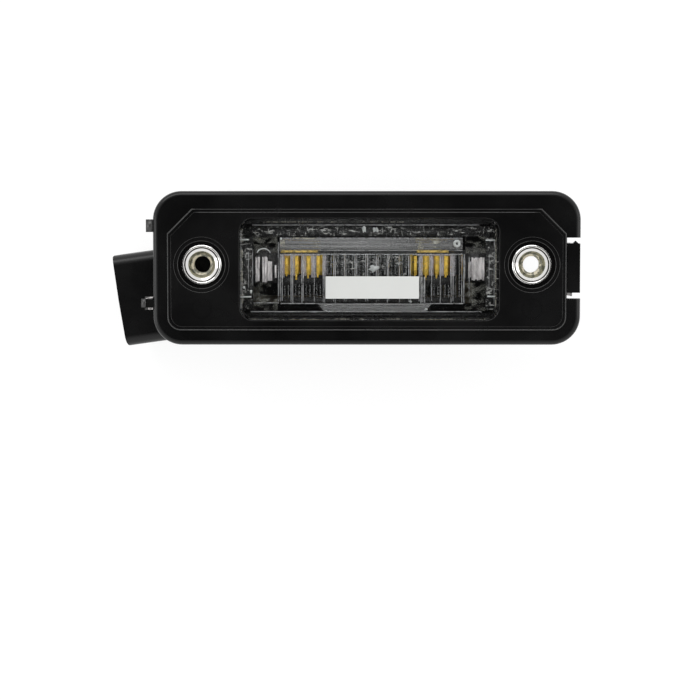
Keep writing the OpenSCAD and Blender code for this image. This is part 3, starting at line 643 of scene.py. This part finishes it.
BANDS = (
    (LENS_INSIDE, ((-18.7, 20.6, 3.95, 6.4),)),
    (LENS_INSIDE + 0.06, ((-17.5, 15.5, 4.1, 5.0),)),
    (LENS_INSIDE, ((-10.6, 14.1, -9.55, -7.6, 1.6),)),
)
# Sheets of painted shade under the lens: behind the glints, between the bands, below the caps'
# reflections and behind the contacts' sheen
SHADE_STRIPS = (
    (SHADE_Z, ((-27.2, 28.2, 6.7, 9.0), (-27.4, -24.4, -9.0, 6.6), (25.6, 28.4, -9.0, 6.6),
              (-27.0, 28.0, -10.4, -9.8))),
    (LENS_INSIDE, ((-18.9, 20.8, 3.05, 3.75),)),
    (SHADE_Z, ((-18.6, 20.8, -7.65, -6.3),
              *((left - 0.1, right + 0.1, -3.6, -1.55) for left, right in CAP_SPANS),
              (-24.3, -19.2, -3.2, 4.6), (21.3, 25.6, -2.9, 4.6), (-26.5, 27.6, 9.4, 10.8))),
)
CELLS = (
    (LENS_INSIDE, ((-26.5, 27.6, 6.9, 8.9), (-27.1, -24.6, -9.0, 6.8), (25.7, 28.2, -9.0, 6.8))),
    (LENS_INSIDE - 0.15, ((-8.8, 8.6, -1.7, 2.9),)),
)
MISTS = (
    (LENS_INSIDE, ((-24.4, -19.2, -9.2, -3.2), (21.2, 25.6, -9.2, -3.2), (-24.4, -19.2, 3.2, 6.8),
                   (21.2, 25.6, 3.2, 6.8))),
)
CONTACT_STREAKS = (
    (-23.95, -22.9, -2.95, 2.4), (-22.45, -21.3, -3.0, 2.5), (-21.25, -20.3, -2.7, 1.7),
    (-19.8, -19.4, -2.3, 0.9), (21.9, 22.45, -2.2, 1.5), (22.55, 25.4, -2.55, 2.4),
)
GLEAMS = ((LENS_INSIDE + 0.05, [(left, right, 3.35, 3.8) for left, right in GLEAM_SPANS]),)
DASHES = (
    (LENS_INSIDE + 0.1, ((10.9, 12.3, 3.95, 5.9), (14.2, 15.9, 3.95, 5.9),
                         (-11.6, -10.4, 4.3, 5.8), (-18.6, -17.6, 3.95, 6.1))),
    (LENS_INSIDE + 0.05, ((-16.0, -10.7, 6.2, 6.55), (10.3, 16.3, 6.2, 6.5))),
    (LENS_INSIDE, ((-25.5, 26.5, -10.86, -10.72), (-22.5, 8.0, 9.85, 9.98))),
    (LENS_INSIDE + 0.05, ((-26.85, -26.65, -9.2, 8.4), (27.65, 27.85, -9.2, 8.4))),
)


def add_strip(bm, z, x0, x1, v0, v1, taper=0.0):
    corners = [(x0 + taper, v0), (x1 - taper, v0), (x1, v1), (x0, v1)]
    add_slab(bm, corners, z - VEIL_THICK, z)


def make_strips(name, material, groups):
    """A piece of strips, given in groups of one height z and its strips."""
    bm = bmesh.new()
    for z, rows in groups:
        for row in rows:
            add_strip(bm, z, *row)
    make_piece(name, bm, material)


def over_cap(x):
    return any(left < x < right for left, right in CAP_SPANS)


def add_flutes(seams, shoulders, rng):
    """Painted highlights: two bright seam glints on each flute's edge, and a lilac shoulder of
    painted light between them over the caps.
    """
    for i in range(FLUTES + 1):
        x = FLUTE_X + (i - FLUTES / 2) * FLUTE_PITCH
        for side in (-1, 1):
            if rng.random() < SEAM_SHARE:
                low = FLUTE_LOW + rng.uniform(0, 0.6)
                high = FLUTE_HIGH - rng.uniform(0, 0.8)
                place = x + side * rng.uniform(0.14, 0.24)
                ends = (place - SEAM_HALF, place + SEAM_HALF)
                add_strip(seams, LENS_INSIDE, *ends, low, high)
        if over_cap(x):
            near = x + rng.uniform(-0.25, 0.25)
            half = rng.uniform(0.35, 0.6)
            low = -1.5 - rng.uniform(0, 0.6)
            add_strip(shoulders, LENS_INSIDE - 0.1, near - half, near + half, low, FLUTE_HIGH)


def make_seams(rng):
    """Painted light along the lens's seams, its longer lines and the flutes' shoulders."""
    seams, shoulders = bmesh.new(), bmesh.new()
    add_flutes(seams, shoulders, rng)
    lines = [(x0, x1, v - LINE_HALF, v + LINE_HALF) for x0, x1, v in LONG_LINES]
    make_strips("lens_line_glints", LINE_GLINT, [(LENS_INSIDE, lines), (LENS_INSIDE, UPRIGHT_LINES)])
    for x0, x1, v in FLAT_SEAMS:
        add_strip(seams, LENS_INSIDE, x0, x1, v - FLAT_HALF, v + FLAT_HALF)
    for row in UPRIGHT_SEAMS:
        add_strip(seams, LENS_INSIDE, *row)
    make_piece("lens_seam_glints", seams, SEAM_GLINT)
    for left, right in GLEAM_SPANS:
        add_strip(shoulders, LENS_INSIDE - 0.03, left, right + 0.4, 2.65, 3.12)
    make_piece("lens_shoulder_lights", shoulders, LILAC_LIGHT)


def make_columns(rng):
    """Painted reflection of the caps' gold between the flutes, each with a narrower tongue below,
    so it ends jagged.
    """
    bm = bmesh.new()
    for i in range(FLUTES):
        x = FLUTE_X + (i + 0.5 - FLUTES / 2) * FLUTE_PITCH
        if over_cap(x):
            x += rng.uniform(-0.2, 0.2)
            half = rng.uniform(0.28, 0.42)
            low = -0.9 - rng.uniform(0, 0.7)
            add_strip(bm, LENS_INSIDE - 0.05, x - half, x + half, low, COLUMN_TOP)
            tongue = TONGUE_LOW - TONGUE_STEP * (i * 3 % 4)
            ends = (x - half + 0.08, x + 0.06)
            add_strip(bm, LENS_INSIDE - 0.08, *ends, tongue, TONGUE_TOP)
    make_piece("lens_cap_reflections", bm, CAP_REFLECTION_VEIL)


def make_sheen(rng):
    """Painted sheen of the contacts as the lens shows them: bright streaks of uneven length."""
    bm = bmesh.new()
    for x0, x1, v0, v1 in CONTACT_STREAKS:
        x = x0
        while x < x1 - 0.15:
            end = min(x + rng.uniform(0.3, 0.6), x1)
            low = v0 - rng.uniform(-0.25, 0.15)
            high = v1 + rng.uniform(-0.3, 0.1)
            add_strip(bm, LENS_INSIDE, x, end - 0.05, low, high)
            x = end
    make_piece("lens_sheen", bm, SHEEN)


def make_veils():
    rng = random.Random(5)
    make_seams(rng)
    make_strips("lens_band_lights", BAND_LIGHT, BANDS)
    make_strips("lens_shade_sheets", SHADE_VEIL, SHADE_STRIPS)
    make_strips("lens_glints", GLINT, CELLS)
    make_strips("lens_mist_light", MIST_LIGHT, MISTS)
    make_columns(rng)
    make_sheen(rng)
    make_strips("lens_gleams", PAINTED_GLEAM, GLEAMS)
    make_strips("lens_glint_dashes", DASH_GLINT, DASHES)


make_veils()

# Filament: a coiled wire in place of the plain rod
COIL_TURNS, COIL_STEPS = 34, 10
COIL_R, COIL_WIRE_R = 0.24 * MM, 0.06 * MM


def make_filament():
    low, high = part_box("filament")
    y = (low[1] + high[1]) / 2
    z = (low[2] + high[2]) / 2
    steps = COIL_TURNS * COIL_STEPS
    points = []
    for i in range(steps + 1):
        a = 2 * math.pi * i / COIL_STEPS
        points.append(Vector((low[0] + i / steps * (high[0] - low[0]),
                              y + COIL_R * math.cos(a), z + COIL_R * math.sin(a))))
    bm = bmesh.new()
    sweep(bm, points, COIL_WIRE_R, 5)
    piece = make_piece("filament_coil", bm, WIRE)
    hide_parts("filament")


make_filament()

# Stage: white floor just under the lamp, pale studio world with a dark patch overhead, soft lamps
FLOOR_Z = cad_box[0][2] - 0.05 * MM
FLOOR_HALF = 6
FLOOR_GREY = 0.9
FLOOR_GLOW, FLOOR_GLOW_SHARE = 1.15, 0.72
DOME = ((0.0, 1.0), (0.6, 0.95), (0.92, 0.7), (0.975, 0.025))


def seen_rays(n, kinds):
    """1 for the rays of these kinds."""
    path = n.add("ShaderNodeLightPath")
    total = path.outputs[kinds[0]]
    for kind in kinds[1:]:
        total = n.calc("MAXIMUM", total, path.outputs[kind])
    return total


def floor_material():
    """White to the rays that show a background, yet with the lamp's shadow. It can't be seen from
    below, so the lamp's back can be looked at."""
    mat, n = new_material("floor")
    diffuse = n.add("ShaderNodeBsdfDiffuse", Color=(FLOOR_GREY, FLOOR_GREY, FLOOR_GREY, 1))
    glow = n.add("ShaderNodeEmission", Strength=FLOOR_GLOW)
    seen = seen_rays(n, ("Is Camera Ray", "Is Glossy Ray", "Is Transmission Ray"))
    upper = n.mix(n.span(seen, 0, FLOOR_GLOW_SHARE, 0, 1), diffuse.outputs["BSDF"],
                  glow.outputs["Emission"])
    below = n.add("ShaderNodeNewGeometry").outputs["Backfacing"]
    nothing = n.add("ShaderNodeBsdfTransparent").outputs["BSDF"]
    n.show(n.mix(below, upper, nothing))
    return mat


def add_floor():
    bm = bmesh.new()
    corners = box_corners(-FLOOR_HALF, FLOOR_HALF, -FLOOR_HALF, FLOOR_HALF)
    bm.faces.new([bm.verts.new((x, y, FLOOR_Z)) for x, y in corners])
    mesh = bpy.data.meshes.new("floor")
    bm.to_mesh(mesh)
    bm.free()
    floor = bpy.data.objects.new("floor", mesh)
    bpy.context.scene.collection.objects.link(floor)
    mesh.materials.append(floor_material())


def add_world():
    world = bpy.data.worlds.new("studio")
    bpy.context.scene.world = world
    n = Nodes(world)
    up = n.split(n.add("ShaderNodeTexCoord").outputs["Generated"])["Z"]
    light = n.add("ShaderNodeBackground", Strength=1.0)
    n.join(n.ramp(up, [(place, (grey, grey, grey)) for place, grey in DOME]),
           light.inputs["Color"])
    white = n.add("ShaderNodeBackground", Color=(1, 1, 1, 1))
    n.show(n.mix(seen_rays(n, ("Is Camera Ray",)), light.outputs["Background"],
                 white.outputs["Background"]), "ShaderNodeOutputWorld")


def add_softbox(name, place, size, power):
    """A lamp that faces the middle of the scene."""
    data = bpy.data.lights.new(name, "AREA")
    data.shape = "RECTANGLE"
    data.size, data.size_y = size
    data.energy = power
    lamp = bpy.data.objects.new(name, data)
    lamp.location = place
    lamp.rotation_euler = (-Vector(place)).to_track_quat("-Z", "Y").to_euler()
    bpy.context.scene.collection.objects.link(lamp)


add_floor()
add_world()
add_softbox("softbox_top", (-0.15, 0.62, 0.5), (0.9, 0.35), 2.0)
add_softbox("softbox_left", (-0.75, -0.1, 0.42), (0.35, 0.6), 0.9)
add_softbox("softbox_right", (0.8, 0.1, 0.45), (0.35, 0.6), 0.7)

bpy.context.scene.view_settings.view_transform = "Standard"
